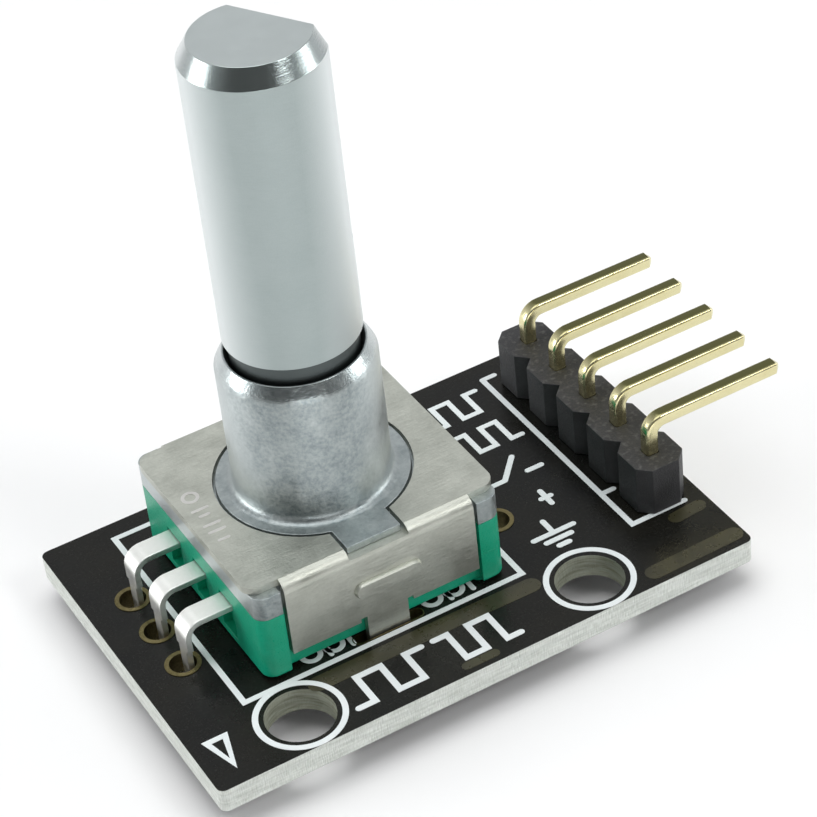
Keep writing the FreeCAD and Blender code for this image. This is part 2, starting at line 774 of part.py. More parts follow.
def make_code_disc():
    """The metal code disc under the rotor: a plain inner track and an outer one of windows."""
    disc = tube(rotor_diameter / 2, hub_diameter / 2, disc_bottom, rotor_bottom)
    step = 360 / detent_count
    ring = tube(code_track_outer / 2, code_track_inner / 2, disc_bottom, rotor_bottom)
    reach = Vector(rotor_diameter, 0, disc_bottom)
    corners = [Vector(0, 0, disc_bottom), reach, turned_point(reach, step / 2)]
    wedge = Part.Face(Part.makePolygon(corners + corners[:1])).extrude(UP * code_disc_thickness)
    window = ring.common(wedge)
    return disc.cut([turned(window, i * step) for i in range(detent_count)])


def turned_point(point, degrees):
    """A point turned about the Z axis."""
    angle = math.radians(degrees)
    x = point.x * math.cos(angle) - point.y * math.sin(angle)
    y = point.x * math.sin(angle) + point.y * math.cos(angle)
    return Vector(x, y, point.z)


def make_plunger():
    """The plunger between the shaft's foot and the dome, with a flange that keeps it in."""
    flange_top = plunger_bottom + plunger_flange_thickness
    flange = cylinder(plunger_flange_diameter / 2, plunger_bottom, flange_top)
    stem = cylinder(neck_diameter / 2, plunger_bottom, plunger_top)
    return flange.fuse(stem).removeSplitter()


# ---------------------------------------------------------------- solder and resistors
def solder_joint(x, y, length, width, core_length, core_width, cores):
    """Solder under one plated hole: it fills the hole and tapers down along the leg."""
    filled = obround(length, width, -copper_thickness, board_thickness * solder_fill, x, y)
    pad_radius = width / 2 + pad_margin
    core_radius = core_width / 2 + solder_neck
    half = max(length - width, 0) / 2
    core_half = max(core_length - core_width, 0) / 2
    base = obround(2 * (half + pad_radius), 2 * pad_radius, 0, 1, x, y)
    tip = obround(2 * (core_half + core_radius), 2 * core_radius, 0, 1, x, y)
    waist_radius = core_radius + (pad_radius - core_radius) * 0.35
    waist_half = core_half + (half - core_half) * 0.35
    waist = obround(2 * (waist_half + waist_radius), 2 * waist_radius, 0, 1, x, y)
    levels = [-copper_thickness, -solder_height * 0.45, -solder_height]
    wires = []
    for outline, level in zip((base, waist, tip), levels):
        lowest = min(outline.Faces, key=lambda face: face.CenterOfMass.z)
        wires.append(moved(lowest.OuterWire, z=level))
    fillet = Part.makeLoft(wires, True, True)
    return filled.fuse(fillet).cut(cores)


def make_solder(pins, terminals, cover):
    """The three groups of joints: header pins, terminals and cover lugs."""
    holes = round_holes()
    core = pin_size * math.sqrt(2)
    header = []
    for (x, y, radius), pin in zip(holes[:pin_count], pins):
        header.append(solder_joint(x, y, 2 * radius, 2 * radius, core, core, [pin]))
    legs = []
    for x, y, radius in holes[pin_count:]:
        legs.append(solder_joint(x, y, 2 * radius, 2 * radius, 1.6 * radius, 1.6 * radius, terminals))
    lugs = []
    for x, y in lug_slots():
        size = (lug_slot_length, lug_slot_width, lug_width + cover_thickness, cover_thickness * 1.6)
        lugs.append(solder_joint(x, y, *size, [cover]))
    return header, legs, lugs


def make_resistors():
    """Two pull-up resistors under the board: ceramic bodies and their metal end caps."""
    bodies = []
    caps = []
    x = pin_row_x - resistor_from_pins
    for side in (-1, 1):
        y = shaft_y + side * resistor_spacing / 2
        x0 = x - resistor_length / 2
        x1 = x + resistor_length / 2
        y0 = y - resistor_width / 2
        y1 = y + resistor_width / 2
        cap = resistor_cap_length
        bodies.append(box(x0 + cap, x1 - cap, y0, y1, -resistor_height, -copper_thickness))
        caps.append(box(x0, x0 + cap, y0, y1, -resistor_height - small_gap, 0))
        caps.append(box(x1 - cap, x1, y0, y1, -resistor_height - small_gap, 0))
    return bodies, caps


# ---------------------------------------------------------------- build
def main():
    os.makedirs("parts", exist_ok=True)

    pins = [make_pin(y) for y in pin_ys]
    cover = at_shaft(make_cover())
    contact_radius = (code_track_inner + code_track_outer) / 4
    side_tip = -math.sqrt(contact_radius ** 2 - terminal_pitch ** 2) + finger_width / 2
    middle_tip = -(hub_diameter + code_track_inner) / 4
    contact_a = make_contact(terminal_pitch, side_tip)
    contact_common = make_contact(0, middle_tip)
    contact_b = make_contact(-terminal_pitch, side_tip)
    contacts = [contact_a, contact_common, contact_b]
    switch_terminals = make_switch_terminals()
    terminals = [at_shaft(piece) for piece in contacts + list(switch_terminals)]
    header_joints, leg_joints, lug_joints = make_solder(pins, terminals, cover)
    resistor_bodies, resistor_caps = make_resistors()

    export("pcb_board", make_board())
    export("plated_holes", *make_plating())
    export("header_base", make_header_base(pins))
    for number, pin in enumerate(pins, start=1):
        export(f"header_pin_{number}", pin)
    export("header_solder", *header_joints)
    export("terminal_solder", *leg_joints)
    export("lug_solder", *lug_joints)
    export("pullup_resistors", *resistor_bodies)
    export("resistor_end_caps", *resistor_caps)

    export("metal_cover", cover)
    export("bush_plate", at_shaft(make_bush_plate()))
    export("click_spring", at_shaft(make_click_spring()))
    export("contact_base", at_shaft(make_contact_base(contacts)))
    export("contact_a", terminals[0])
    export("contact_common", terminals[1])
    export("contact_b", terminals[2])
    export("switch_base", at_shaft(make_switch_base(list(switch_terminals))))
    export("switch_terminal_1", terminals[3])
    export("switch_terminal_2", terminals[4])
    export("switch_dome", at_shaft(make_dome()))

    export("shaft", at_shaft(make_shaft()))
    export("retaining_ring", at_shaft(make_retaining_ring()))
    export("rotor", at_shaft(make_rotor()))
    export("code_disc", at_shaft(make_code_disc()))
    export("switch_plunger", at_shaft(make_plunger()))


main()
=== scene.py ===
# %% [markdown]
# # A rotary encoder on its small breakout board
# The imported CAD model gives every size, place and joint. This lesson adds what a solid
# model lacks: rounded edges, printed ink, solder, and finishes worked out by shader nodes.
# Everything is in metres and in the frame of the model, so nothing is fitted afterwards.

# %% Load the frame
import json
import math

import bmesh
import bpy
import numpy as np
from mathutils import Matrix, Vector

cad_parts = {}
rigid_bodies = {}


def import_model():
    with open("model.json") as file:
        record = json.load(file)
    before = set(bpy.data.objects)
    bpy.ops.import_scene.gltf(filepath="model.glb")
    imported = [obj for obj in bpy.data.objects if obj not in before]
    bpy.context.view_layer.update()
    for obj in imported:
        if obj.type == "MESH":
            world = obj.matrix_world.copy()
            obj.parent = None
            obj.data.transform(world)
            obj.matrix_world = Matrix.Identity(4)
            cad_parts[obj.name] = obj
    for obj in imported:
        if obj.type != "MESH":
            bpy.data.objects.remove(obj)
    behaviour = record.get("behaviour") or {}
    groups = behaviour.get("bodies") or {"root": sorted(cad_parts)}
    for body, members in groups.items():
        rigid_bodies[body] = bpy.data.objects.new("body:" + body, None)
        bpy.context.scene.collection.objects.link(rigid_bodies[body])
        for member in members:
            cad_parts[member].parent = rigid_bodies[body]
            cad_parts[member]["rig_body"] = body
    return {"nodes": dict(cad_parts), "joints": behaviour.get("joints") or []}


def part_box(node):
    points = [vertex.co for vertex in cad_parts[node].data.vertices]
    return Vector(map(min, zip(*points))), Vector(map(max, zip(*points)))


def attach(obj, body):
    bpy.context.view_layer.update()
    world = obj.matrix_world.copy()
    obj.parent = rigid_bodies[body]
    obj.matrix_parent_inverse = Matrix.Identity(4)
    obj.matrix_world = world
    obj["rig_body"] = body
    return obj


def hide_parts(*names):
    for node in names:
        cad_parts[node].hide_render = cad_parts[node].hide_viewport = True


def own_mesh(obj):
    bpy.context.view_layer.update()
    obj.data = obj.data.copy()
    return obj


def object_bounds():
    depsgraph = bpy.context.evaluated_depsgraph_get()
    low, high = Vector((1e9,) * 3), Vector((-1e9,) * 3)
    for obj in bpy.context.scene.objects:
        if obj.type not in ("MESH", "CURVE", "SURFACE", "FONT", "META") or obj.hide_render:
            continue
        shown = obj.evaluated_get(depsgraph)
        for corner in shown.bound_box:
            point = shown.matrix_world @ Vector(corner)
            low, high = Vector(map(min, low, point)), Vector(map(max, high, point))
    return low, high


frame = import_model()
cad_low, cad_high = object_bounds()
nodes = frame["nodes"]

# %% [markdown]
# ## Where things are
# The shaft's axis comes from its joint, and the levels come from the boxes of the nodes.
# Lengths that only the looks need, such as the width of a printed line, are in millimetres
# and become metres by multiplying with MM.

# %% Places and small units
MM = 0.001
turn_joint = next(joint for joint in frame["joints"] if joint["name"] == "shaft_turn")
AXIS_X, AXIS_Y = turn_joint["pos_m"][:2]
BOARD_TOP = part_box("pcb_board")[1][2]
COVER_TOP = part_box("metal_cover")[1][2]
print("board top", round(BOARD_TOP / MM, 2), "mm, cover top", round(COVER_TOP / MM, 2), "mm")
print("shaft axis at", round(AXIS_X / MM, 2), round(AXIS_Y / MM, 2), "mm")

# %% [markdown]
# ## The camera
# A product shot of a small part is taken with a long lens from well above. The camera is
# placed by what it aims at, its distance, its bearing round the object, its height in
# degrees, and a small roll, which is easier to read and to change than a matrix.

# %% Camera
AIM = Vector((-1.0, -0.9, 15.25)) * MM
DISTANCE = 110 * MM
BEARING = math.radians(-25.97)
HEIGHT = math.radians(38.4)
ROLL = math.radians(-6.66)
LENS = 123.7
SENSOR_WIDTH = 36

ahead = Vector((
    -math.sin(BEARING) * math.cos(HEIGHT),
    math.cos(BEARING) * math.cos(HEIGHT),
    -math.sin(HEIGHT),
))
level = Vector((math.cos(BEARING), math.sin(BEARING), 0))
above = level.cross(ahead)
right = level * math.cos(ROLL) + above * math.sin(ROLL)
up = right.cross(ahead)

camera = bpy.data.objects.new("camera", bpy.data.cameras.new("camera"))
bpy.context.scene.collection.objects.link(camera)
turn = Matrix((right, up, -ahead)).transposed().to_4x4()
camera.matrix_world = Matrix.Translation(AIM - ahead * DISTANCE) @ turn
camera.data.lens = LENS
camera.data.sensor_width = SENSOR_WIDTH
camera.data.clip_start = 5 * MM
camera.data.clip_end = 10
bpy.context.scene.camera = camera
print("camera at", [round(c / MM, 1) for c in camera.location], "mm")

# %% [markdown]
# ## Node helpers
# A few helpers keep the shader code short. One gives a socket a constant, or links it when
# the value is another socket. One adds a node with its options and sockets. One makes a
# node group with named sockets, so that an effect is built once, and one places it in a
# finish. The usual sums of two masks get a short helper as well.


# %% Node helpers
def fill(tree, socket, value):
    """Give a socket a constant, or link it to another socket."""
    if isinstance(value, bpy.types.NodeSocket):
        tree.links.new(value, socket)
    else:
        socket.default_value = value


def add(tree, kind, inputs=None, **options):
    """Add a node; inputs are constants or sockets to link, options are its settings."""
    made = tree.nodes.new(kind)
    for key, value in options.items():
        setattr(made, key, value)
    for key, value in (inputs or {}).items():
        fill(tree, made.inputs[key], value)
    return made


def sum_node(tree, operation, first, second=0.0):
    """The result of a Math node on one or two values."""
    return add(tree, "ShaderNodeMath", {0: first, 1: second}, operation=operation).outputs["Value"]


def ramp(tree, value, start, end):
    """0 where the value is at start, 1 where it is at end, and straight between."""
    made = add(tree, "ShaderNodeMapRange", {"Value": value, "From Min": start, "From Max": end})
    return made.outputs["Result"]


def new_group(name, inputs, outputs):
    """A shader node group with named sockets; returns its tree, entry and exit nodes."""
    tree = bpy.data.node_groups.new(name, "ShaderNodeTree")
    for label, default in inputs.items():
        socket = tree.interface.new_socket(label, in_out="INPUT", socket_type="NodeSocketFloat")
        socket.default_value = default
    for label in outputs:
        kind = "NodeSocketVector" if label == "Vector" else "NodeSocketFloat"
        tree.interface.new_socket(label, in_out="OUTPUT", socket_type=kind)
    return tree, tree.nodes.new("NodeGroupInput"), tree.nodes.new("NodeGroupOutput")


def use(tree, group, inputs=None):
    """Place a node group in a tree."""
    made = tree.nodes.new("ShaderNodeGroup")
    made.node_tree = group
    for key, value in (inputs or {}).items():
        fill(tree, made.inputs[key], value)
    return made


print("node helpers ready in Blender", bpy.app.version_string)

# %% [markdown]
# ## Shared effects
# Metals, plastic and ink share a few effects: a fine grain, larger blotches where handling
# and plating vary, drawn-out streaks from rolling or turning, and dust that settles on
# faces that look up. Each one is a group that puts out a mask from 0 to 1. All of them
# work in millimetres on Object coordinates, so a pattern keeps its real size. The first
# group only makes those coordinates.


# %% Millimetre coordinates
def group_millimetres():
    """Object coordinates, multiplied so that one unit is a millimetre."""
    tree, _, leave = new_group("millimetres", {}, ["Vector"])
    place = add(tree, "ShaderNodeTexCoord")
    scaled = add(tree, "ShaderNodeVectorMath", {0: place.outputs["Object"]}, operation="SCALE")
    scaled.inputs["Scale"].default_value = 1 / MM
    tree.links.new(scaled.outputs["Vector"], leave.inputs["Vector"])
    return tree


MILLIMETRES = group_millimetres()
print("one unit is", MM, "metres")

# %% [markdown]
# ## Grain
# No real surface has one even tone. A fractal noise gives both the slow blotches of a
# casting and the fine grain of a blasted shaft, and only its size differs. A painted
# picture could do it as well, but a noise has no seams and needs no file.


# %% Grain
def lumps(tree, entry, vector, detail, **more):
    """A noise whose lumps are Size millimetres across."""
    scale = sum_node(tree, "DIVIDE", 1.0, entry.outputs["Size"])
    inputs = {"Vector": vector, "Scale": scale, "Detail": detail, **more}
    return add(tree, "ShaderNodeTexNoise", inputs).outputs["Fac"]


def group_grain():
    """Fine even grain: noise whose lumps are Size millimetres across, spread to 0..1."""
    tree, entry, leave = new_group("grain", {"Size": 0.1, "Detail": 3.0}, ["Mask"])
    place = use(tree, MILLIMETRES).outputs["Vector"]
    noise = lumps(tree, entry, place, entry.outputs["Detail"], Roughness=0.6)
    tree.links.new(ramp(tree, noise, 0.3, 0.7), leave.inputs["Mask"])
    return tree


GRAIN = group_grain()
print("grain has", len(GRAIN.nodes), "nodes")

# %% [markdown]
# ## Streaks
# Rolled sheet, turned metal and sawn board are marked along one direction. The noise's
# coordinates are divided by how long its lumps should be along each axis, which draws
# them out into lines.


# %% Streaks
def group_streaks():
    """Noise squeezed along one axis at a time, which draws it out into lines."""
    inputs = {"Size": 0.1, "Long X": 1.0, "Long Y": 1.0, "Long Z": 1.0}
    tree, entry, leave = new_group("streaks", inputs, ["Mask"])
    long = add(tree, "ShaderNodeCombineXYZ", {
        axis: entry.outputs["Long " + axis] for axis in "XYZ"
    })
    drawn = add(tree, "ShaderNodeVectorMath", {
        0: use(tree, MILLIMETRES).outputs["Vector"], 1: long.outputs["Vector"],
    }, operation="DIVIDE")
    noise = lumps(tree, entry, drawn.outputs["Vector"], 2.0)
    tree.links.new(ramp(tree, noise, 0.3, 0.7), leave.inputs["Mask"])
    return tree


STREAKS = group_streaks()
print("streaks has", len(STREAKS.nodes), "nodes")

# %% [markdown]
# ## Dust
# Dust settles on what looks up. Its mask is the product of how level the surface is and of
# a fine noise that breaks it into specks.


# %% Dust
def normal_z(tree):
    """How far the surface looks up, from -1 to 1."""
    shape = add(tree, "ShaderNodeNewGeometry")
    return add(tree, "ShaderNodeSeparateXYZ", {"Vector": shape.outputs["Normal"]}).outputs["Z"]


def group_dust():
    """Dust: strong where the surface looks up, broken into specks by a fine noise."""
    tree, entry, leave = new_group("dust", {"Amount": 0.3, "Size": 0.25}, ["Mask"])
    looks_up = ramp(tree, normal_z(tree), 0.3, 0.95)
    noise = lumps(tree, entry, use(tree, MILLIMETRES).outputs["Vector"], 4.0)
    both = sum_node(tree, "MULTIPLY", looks_up, ramp(tree, noise, 0.52, 0.72))
    amount = sum_node(tree, "MULTIPLY", both, entry.outputs["Amount"])
    tree.links.new(amount, leave.inputs["Mask"])
    return tree


DUST = group_dust()
print("dust has", len(DUST.nodes), "nodes")

# %% [markdown]
# ## Bright chamfers
# A turning tool leaves a chamfer brighter than the blasted face beside it. A chamfer is
# neither level nor upright, so the direction of the surface finds it. The height leaves out
# the fillet at the foot of the bush, which is still as it was cast.


# %% Sloping faces
def height_mm(tree):
    """The height in the frame of the model, in millimetres."""
    place = use(tree, MILLIMETRES).outputs["Vector"]
    return add(tree, "ShaderNodeSeparateXYZ", {"Vector": place}).outputs["Z"]


def group_sloping():
    """1 on faces between upright and level that lie above a height, and 0 elsewhere."""
    tree, entry, leave = new_group("sloping", {"Above": 8.0}, ["Mask"])
    slope = sum_node(tree, "ABSOLUTE", normal_z(tree))
    both = sum_node(tree, "MULTIPLY", ramp(tree, slope, 0.2, 0.4), ramp(tree, slope, 0.9, 0.7))
    above = sum_node(tree, "GREATER_THAN", height_mm(tree), entry.outputs["Above"])
    tree.links.new(sum_node(tree, "MULTIPLY", both, above), leave.inputs["Mask"])
    return tree


SLOPING = group_sloping()
print("sloping has", len(SLOPING.nodes), "nodes")

# %% [markdown]
# ## Painted shade on top
# The upper side of a level gold pin gets a dark tone, a painted shade in place of the dark
# reflection that side shows. This mask finds the faces that look up.


# %% Faces that look up
def group_looks_up():
    """1 on level faces that look up, fading to 0 at about 45 degrees."""
    tree, _, leave = new_group("looks up", {}, ["Mask"])
    tree.links.new(ramp(tree, normal_z(tree), 0.7, 0.98), leave.inputs["Mask"])
    return tree


LOOKS_UP = group_looks_up()
print("shared effects", [group.name for group in bpy.data.node_groups])

# %% [markdown]
# ## Building a finish
# A finish is a Principled shader whose colour runs between two tones, whose roughness runs
# between two values, and whose surface gets a little height. The masks come from the
# shared groups. What is the same all over the surface is set on the shader's own sockets.


# %% Finish helpers
def rgb(red, green, blue):
    """A colour with full alpha."""
    return (red, green, blue, 1.0)


def mix_colour(tree, mask, first, second):
    """The colour socket between two colours, each a constant or a socket."""
    mixed = add(tree, "ShaderNodeMix", data_type="RGBA")
    fill(tree, mixed.inputs["Factor"], mask)
    fill(tree, mixed.inputs[6], first)
    fill(tree, mixed.inputs[7], second)
    return mixed.outputs[2]


def between(tree, mask, low, high):
    """A value that runs from low to high as the mask runs from 0 to 1."""
    made = add(tree, "ShaderNodeMapRange", {"Value": mask, "To Min": low, "To Max": high})
    return made.outputs["Result"]


def new_finish(name, **constants):
    """A material with a Principled shader; returns the material, its tree and the shader."""
    material = bpy.data.materials.new(name)
    material.use_nodes = True
    tree = material.node_tree
    shader = tree.nodes["Principled BSDF"]
    for key, value in constants.items():
        shader.inputs[key.replace("_", " ").title().replace("Ior", "IOR")].default_value = value
    return material, tree, shader


def bump(tree, shader, height, depth_mm):
    """Feed a height mask to the shader's normal, with a depth in millimetres."""
    made = add(tree, "ShaderNodeBump", {"Height": height, "Distance": depth_mm * MM})
    tree.links.new(made.outputs["Normal"], shader.inputs["Normal"])


print("finishes before the first one", len(bpy.data.materials))

# %% [markdown]
# ## A metal
# Real metal differs most in how rough it is, so tone and roughness follow one mask: slow
# blotches averaged with a fine grain, or with streaks where it was rolled or turned. A
# finish may add brighter chamfers, a paler rim that is painted sheen, and a dark top and a
# dark neck that are painted shade.


# %% Metal
def metal(name, tones, roughness, grain_mm, depth_mm, streak=None,
          blotch_mm=1.6, painted_rim_sheen=None, polished=None, top=None, painted_neck_shade=None):
    """A bare or plated metal: tone by blotches, roughness by grain or streaks, fine height.

    The rim tone is painted sheen: a paler colour towards the outline, set by the facing angle,
    in place of the light a curved side catches. polished is the roughness of sloping faces such
    as a turned chamfer. The top tone is painted shade on faces that look up, in place of a dark
    reflection. The neck pair is a height above the board and the tone below it, painted shade
    where the head shadows the turned neck.
    """
    material, tree, shader = new_finish(name, metallic=1.0)
    blotch = use(tree, GRAIN, {"Size": blotch_mm, "Detail": 4.0}).outputs["Mask"]
    fine = use(tree, GRAIN, {"Size": grain_mm, "Detail": 3.0}).outputs["Mask"]
    if streak:
        lines = use(tree, STREAKS, streak).outputs["Mask"]
        fine = sum_node(tree, "MULTIPLY", sum_node(tree, "ADD", fine, lines), 0.5)
    mask = sum_node(tree, "MULTIPLY", sum_node(tree, "ADD", blotch, fine), 0.5)
    colour = mix_colour(tree, mask, rgb(*tones[0]), rgb(*tones[1]))
    rough = between(tree, mask, *roughness)
    # Painted shade: the top tone darkens faces that look up, in place of a dark reflection.
    if top:
        colour = mix_colour(tree, use(tree, LOOKS_UP).outputs["Mask"], colour, rgb(*top))
    # Painted sheen: a paler tone where the surface turns away from the view, in place of the light on
    # a curved side.
    if painted_rim_sheen:
        facing = add(tree, "ShaderNodeLayerWeight", {"Blend": 0.5}).outputs["Facing"]
        colour = mix_colour(tree, ramp(tree, facing, 0.25, 0.7), colour, rgb(*painted_rim_sheen))
    # Painted shade: a darker tone below a height, in place of the shadow under the shaft's head.
    if painted_neck_shade:
        below = sum_node(tree, "LESS_THAN", height_mm(tree), BOARD_TOP / MM + painted_neck_shade[0])
        colour = mix_colour(tree, below, colour, rgb(*painted_neck_shade[1]))
    if polished:
        sloping = use(tree, SLOPING).outputs["Mask"]
        rough = add(tree, "ShaderNodeMix", {"Factor": sloping, "A": rough, "B": polished}).outputs[0]
    tree.links.new(colour, shader.inputs["Base Color"])
    tree.links.new(rough, shader.inputs["Roughness"])
    bump(tree, shader, fine, depth_mm)
    return material


print("finishes so far", len(bpy.data.materials))

# %% [markdown]
# ## The metals
# The cover is rolled steel with a warm nickel plate, so it has faint rolling lines. The
# bush is die-cast zinc, bluish and mottled. The shaft is turned and then blasted, so it is
# pale, even and fine. Terminals are bright silver plate and the header pins thin gold.

# %% Metals
COVER_STEEL = metal("satin_nickel", [(0.41, 0.425, 0.375), (0.61, 0.625, 0.565)], (0.32, 0.52),
                    0.14, 0.008, {"Size": 0.07, "Long X": 8.0}, blotch_mm=1.5)
# The zinc's paler rim tone is painted sheen.
ZINC = metal("die_cast_zinc", [(0.20, 0.24, 0.25), (0.48, 0.52, 0.515)], (0.30, 0.50),
             0.18, 0.006, blotch_mm=0.9, painted_rim_sheen=(0.54, 0.58, 0.58), polished=0.27)
# The shaft's paler rim tone is painted sheen, and its dark tone below the head is painted shade.
SHAFT_METAL = metal("blasted_aluminium", [(0.36, 0.415, 0.41), (0.42, 0.475, 0.47)], (0.34, 0.46),
                    0.06, 0.004, {"Size": 0.05, "Long X": 9.0, "Long Y": 9.0},
                    painted_rim_sheen=(0.70, 0.74, 0.74), polished=0.18, painted_neck_shade=(12.79, (0.10, 0.115, 0.115)))
SILVER = metal("silver_plate", [(0.90, 0.92, 0.88), (0.98, 0.98, 0.95)], (0.36, 0.48),
               0.12, 0.0015)
# The gold's dark top tone is painted shade.
GOLD = metal("thin_gold", [(0.70, 0.63, 0.34), (0.84, 0.79, 0.50)], (0.16, 0.30),
             0.12, 0.002, {"Size": 0.05, "Long X": 12.0}, top=(0.15, 0.145, 0.06))
DULL_GOLD = metal("hole_plating", [(0.10, 0.085, 0.035), (0.24, 0.20, 0.10)], (0.34, 0.55),
                  0.1, 0.006)
SOLDER = metal("tin_solder", [(0.62, 0.63, 0.64), (0.80, 0.81, 0.82)], (0.14, 0.40), 0.25, 0.012)
SPRING_STEEL = metal("spring_steel", [(0.56, 0.55, 0.53), (0.66, 0.65, 0.63)], (0.22, 0.36),
                     0.08, 0.003, {"Size": 0.05, "Long Y": 12.0})
CODE_METAL = metal("silvered_brass", [(0.70, 0.62, 0.42), (0.82, 0.77, 0.62)], (0.18, 0.32),
                   0.1, 0.003)
TIN = metal("matt_tin", [(0.62, 0.62, 0.61), (0.76, 0.76, 0.75)], (0.36, 0.55), 0.06, 0.005)
print("metals", len(bpy.data.materials))

# %% [markdown]
# ## The plastics
# The two bases are a clean emerald green with a little shine. The header is a black
# glass-filled plastic, matt, slightly grey, and dusty on top. A plastic needs less than a
# metal: two near tones in slow blotches, and a fine moulded texture.

# %% Plastics
def plastic(name, tones, roughness, grain_mm, depth_mm, dust=0.0, **constants):
    """A moulded plastic: two near tones, a soft sheen and a fine moulded texture."""
    material, tree, shader = new_finish(name, **constants)
    blotch = use(tree, GRAIN, {"Size": 2.2, "Detail": 3.0}).outputs["Mask"]
    grain = use(tree, GRAIN, {"Size": grain_mm, "Detail": 3.0}).outputs["Mask"]
    colour = mix_colour(tree, blotch, rgb(*tones[0]), rgb(*tones[1]))
    if dust:
        specks = use(tree, DUST, {"Amount": dust}).outputs["Mask"]
        colour = mix_colour(tree, specks, colour, rgb(0.55, 0.54, 0.5))
    tree.links.new(colour, shader.inputs["Base Color"])
    tree.links.new(between(tree, grain, *roughness), shader.inputs["Roughness"])
    bump(tree, shader, grain, depth_mm)
    return material


GREEN = plastic("green_moulding", [(0.003, 0.27, 0.145), (0.005, 0.36, 0.21)], (0.26, 0.40), 0.09,
                0.006, specular_ior_level=0.4)
HEADER_BLACK = plastic("header_black", [(0.012, 0.012, 0.013), (0.03, 0.03, 0.032)], (0.42, 0.62),
                       0.08, 0.010, dust=0.10)
ROTOR_WHITE = plastic("natural_plastic", [(0.72, 0.70, 0.63), (0.80, 0.78, 0.72)],
                      (0.38, 0.5), 0.1, 0.004)
PLUNGER_BLACK = plastic("plunger_black", [(0.02, 0.02, 0.02), (0.035, 0.035, 0.035)],
                        (0.35, 0.5), 0.1, 0.004)
CERAMIC = plastic("resistor_glaze", [(0.012, 0.012, 0.014), (0.03, 0.03, 0.034)],
                  (0.18, 0.3), 0.12, 0.006)
INK = plastic("white_ink", [(0.74, 0.79, 0.80), (0.84, 0.88, 0.88)], (0.50, 0.70), 0.05, 0.006)
print("metals and plastics", len(bpy.data.materials))

# %% [markdown]
# ## The board
# A board is one sheet with two looks. Its faces carry a glossy black solder mask, with the
# copper under it just showing as an olive tint. Its sawn edges and drilled holes are bare
# glass laminate: pale, matt and layered. Inside a hole the laminate is darker, a painted
# shade for the recess. One material shows all three: it reads how far the surface turns
# away from level, and how far it is from the middle of a mounting hole.


# %% Board
HOLE_OFFSET = 7.2
HOLE_WALL = 1.75


def near_hole(tree):
    """1 inside the wall of a mounting hole; the two lie equally far left and right."""
    mirrored = add(tree, "ShaderNodeVectorMath", {
        0: use(tree, MILLIMETRES).outputs["Vector"],
    }, operation="ABSOLUTE")
    from_hole = add(tree, "ShaderNodeVectorMath", {
        0: mirrored.outputs["Vector"], 1: (-HOLE_OFFSET, 0, 0),
    }, operation="ADD")
    level_only = add(tree, "ShaderNodeVectorMath", {
        0: from_hole.outputs["Vector"], 1: (1, 1, 0),
    }, operation="MULTIPLY")
    away = add(tree, "ShaderNodeVectorMath", {0: level_only.outputs["Vector"]}, operation="LENGTH")
    return sum_node(tree, "LESS_THAN", away.outputs["Value"], HOLE_WALL)


def coated_colour(tree):
    """The black solder mask, with slow blotches of olive and a few specks of dust."""
    pour = use(tree, GRAIN, {"Size": 3.5, "Detail": 2.0}).outputs["Mask"]
    colour = mix_colour(tree, pour, rgb(0.0045, 0.005, 0.005), rgb(0.009, 0.0085, 0.006))
    specks = use(tree, DUST, {"Amount": 0.03, "Size": 0.12}).outputs["Mask"]
    return mix_colour(tree, specks, colour, rgb(0.30, 0.30, 0.28))


def bare_colour(tree, fibres):
    """Glass laminate in level layers, darker between its fibres, with painted shade in a hole."""
    layers = use(tree, STREAKS, {
        "Size": 0.10, "Long X": 12.0, "Long Y": 12.0, "Long Z": 1.2,
    }).outputs["Mask"]
    sawn = mix_colour(tree, layers, rgb(0.62, 0.65, 0.61), rgb(0.84, 0.87, 0.83))
    sawn = mix_colour(tree, between(tree, fibres, 0.0, 0.35), sawn, rgb(0.30, 0.32, 0.27))
    # Painted shade: the hole walls get a darker tone in place of the shade inside the hole.
    painted_hole_shade = mix_colour(tree, layers, rgb(0.22, 0.23, 0.17), rgb(0.40, 0.42, 0.35))
    return mix_colour(tree, near_hole(tree), sawn, painted_hole_shade)


def board_finish():
    """Solder mask on level faces, layered glass laminate on edges and hole walls."""
    material, tree, shader = new_finish("board_laminate", specular_ior_level=0.22)
    edge = ramp(tree, sum_node(tree, "ABSOLUTE", normal_z(tree)), 0.75, 0.35)
    fibres = use(tree, STREAKS, {"Size": 0.05, "Long Z": 8.0}).outputs["Mask"]
    colour = mix_colour(tree, edge, coated_colour(tree), bare_colour(tree, fibres))
    tree.links.new(colour, shader.inputs["Base Color"])
    gloss = between(tree, use(tree, GRAIN, {"Size": 1.2}).outputs["Mask"], 0.22, 0.34)
    rough = sum_node(tree, "ADD", gloss, sum_node(tree, "MULTIPLY", edge, 0.55))
    tree.links.new(rough, shader.inputs["Roughness"])
    orange_peel = use(tree, GRAIN, {"Size": 0.5, "Detail": 2.0}).outputs["Mask"]
    cut = sum_node(tree, "MULTIPLY", edge, fibres)
    relief = sum_node(tree, "ADD", cut, sum_node(tree, "MULTIPLY", orange_peel, 0.12))
    bump(tree, shader, relief, 0.03)
    return material


BOARD = board_finish()
COVERED_COPPER = plastic("mask_over_copper", [(0.018, 0.017, 0.007), (0.048, 0.044, 0.018)],
                         (0.24, 0.36), 0.4, 0.004)
print("finishes", len(bpy.data.materials))

# %% [markdown]
# ## Meshes from arrays
# A solid that follows a path is a stack of rings with the same number of points, joined by
# four-sided faces. If the stack closes on itself it needs no ends, and otherwise each end
# ring becomes one face. The same few lines make a turned part, a bent pin and a printed line.


